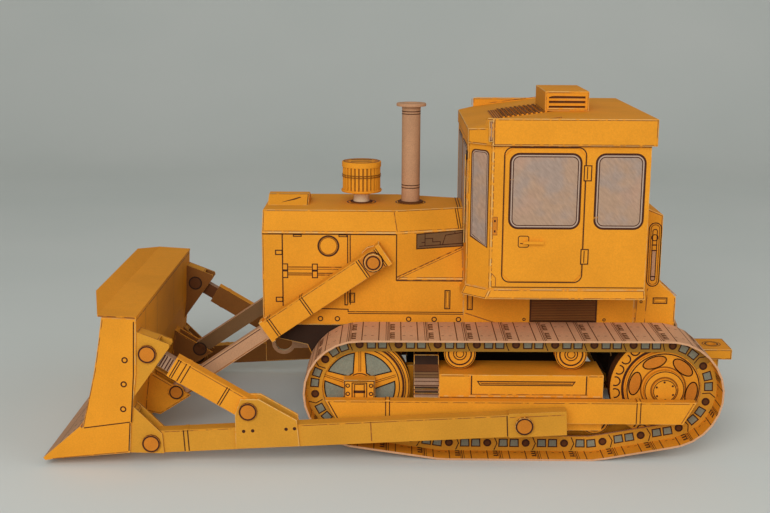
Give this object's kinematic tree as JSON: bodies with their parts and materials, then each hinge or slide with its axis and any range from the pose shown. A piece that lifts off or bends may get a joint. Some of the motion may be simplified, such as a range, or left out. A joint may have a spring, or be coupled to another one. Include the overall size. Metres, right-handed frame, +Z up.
{
  "type": "card model crawler bulldozer",
  "caption": "Folded-card model of a crawler bulldozer with a closed cab, printed panels and a blade that lifts on its push arms and two telescoping lift cylinders.",
  "frame": {"origin": "centre of the model's plan outline, on the surface its tracks stand on", "axes": "+X towards the blade, +Y the machine's left side, +Z up"},
  "size_m": [0.223, 0.097, 0.1134],
  "materials": {
    "yellow_card": "matte",
    "dark_card": "matte",
    "tan_card": "matte",
    "grey_card": "matte"
  },
  "bodies": {
    "chassis": {"cab": "yellow_card", "cab_floor": "yellow_card", "cab_roof": "yellow_card", "corner_lamps": "grey_card", "cylinder_mounts": "yellow_card", "door_handles": "yellow_card", "drawbar": "yellow_card", "exhaust": "tan_card", "final_drives": "dark_card", "frame_rails": "yellow_card", "hood": "yellow_card", "hood_cap": "yellow_card", "hull": "dark_card", "idler_blocks": "yellow_card", "idlers": "yellow_card", "louvre_panels": "dark_card", "lower_body": "yellow_card", "pivot_pins": "yellow_card", "precleaner": "yellow_card", "precleaner_neck": "tan_card", "rear_tank": "yellow_card", "recoil_blocks": "grey_card", "roller_frames": "yellow_card", "rollers": "yellow_card", "roof_vent": "yellow_card", "sprockets": "yellow_card", "tow_hook": "tan_card", "track_left": "yellow_card", "track_right": "yellow_card", "wiper": "dark_card"},
    "push_frame": {"arm_lugs": "yellow_card", "blade": "yellow_card", "blade_guard": "yellow_card", "brace_lugs": "yellow_card", "brace_rods": "grey_card", "braces": "yellow_card", "cutting_edge": "tan_card", "cylinder_lugs": "yellow_card", "gussets": "yellow_card", "push_arms": "yellow_card", "push_frame_pins": "yellow_card"},
    "lift_barrel_left": {"lift_barrel_left": "yellow_card"},
    "lift_barrel_right": {"lift_barrel_right": "yellow_card"},
    "lift_rod_left": {"lift_rod_left": "tan_card"},
    "lift_rod_right": {"lift_rod_right": "tan_card"}
  },
  "joints": [
    {"name": "blade_lift", "type": "hinge", "parent": "chassis", "child": "push_frame", "pos_m": [-0.03725, 0, 0.0139], "axis": [0, -1, 0], "range_deg": [0, 12]},
    {"name": "cylinder_tilt_left", "type": "hinge", "parent": "chassis", "child": "lift_barrel_left", "pos_m": [0.00975, 0.0235, 0.0604], "axis": [0, -1, 0], "range_deg": [0, 15.3]},
    {"name": "rod_slide_left", "type": "slide", "parent": "lift_barrel_left", "child": "lift_rod_left", "axis": [-0.8258, 0, 0.5639], "range_m": [0, 0.01321]},
    {"name": "cylinder_tilt_right", "type": "hinge", "parent": "chassis", "child": "lift_barrel_right", "pos_m": [0.00975, -0.0235, 0.0604], "axis": [0, -1, 0], "range_deg": [0, 15.3]},
    {"name": "rod_slide_right", "type": "slide", "parent": "lift_barrel_right", "child": "lift_rod_right", "axis": [-0.8258, 0, 0.5639], "range_m": [0, 0.01321]}
  ],
  "couplings": [
    {"joint": "cylinder_tilt_left", "follows": "blade_lift", "ratio": 1.2737},
    {"joint": "rod_slide_left", "follows": "blade_lift", "m_per_rad": 0.06296},
    {"joint": "cylinder_tilt_right", "follows": "blade_lift", "ratio": 1.2737},
    {"joint": "rod_slide_right", "follows": "blade_lift", "m_per_rad": 0.06296}
  ]
}
